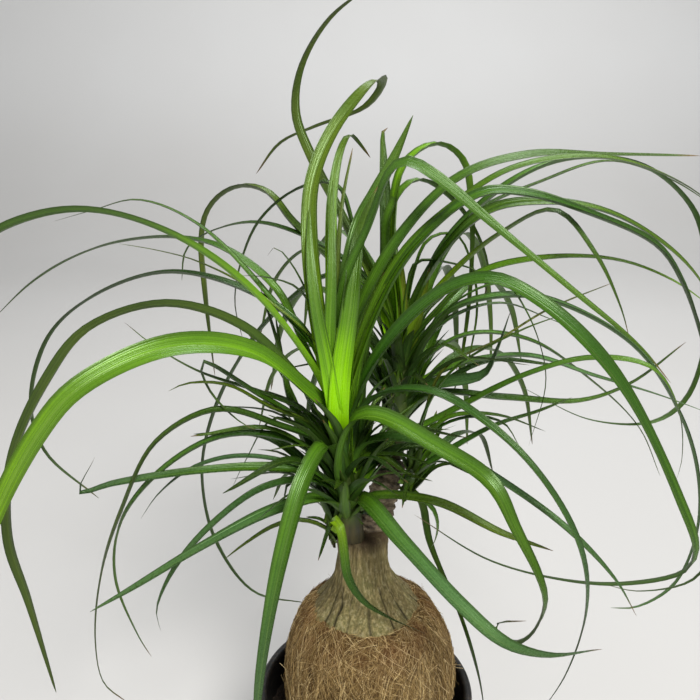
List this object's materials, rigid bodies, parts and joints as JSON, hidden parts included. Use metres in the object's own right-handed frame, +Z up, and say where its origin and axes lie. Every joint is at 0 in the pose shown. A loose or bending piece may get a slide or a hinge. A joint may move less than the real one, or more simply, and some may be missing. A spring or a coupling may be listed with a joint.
{
  "type": "potted ponytail palm",
  "caption": "Small black pot with a swollen fibre-wrapped bulb, a short neck and crowns of long narrow leaves that arch out on all sides.",
  "frame": {"origin": "centre of the pot's flat foot, on the floor", "axes": "+Z up; -Y towards the front, from where the picture was taken; +X to the right in the picture"},
  "size_m": [0.5025, 0.3506, 0.5944],
  "materials": {
    "black_plastic": "satin moulded plastic",
    "soil": "dark crumbly potting mix",
    "bark": "grey-olive wrinkled bark",
    "coconut_fibre": "matted tan fibre",
    "bright_leaf": "semi-gloss ribbed leaf",
    "dark_leaf": "semi-gloss ribbed leaf"
  },
  "bodies": {
    "root": {"pot": "black_plastic", "soil": "soil", "bulb": "bark", "coir_wrap": "coconut_fibre", "front_crown": "bright_leaf", "back_crown": "dark_leaf", "right_crown": "bright_leaf", "left_crown": "dark_leaf"}
  },
  "joints": []
}
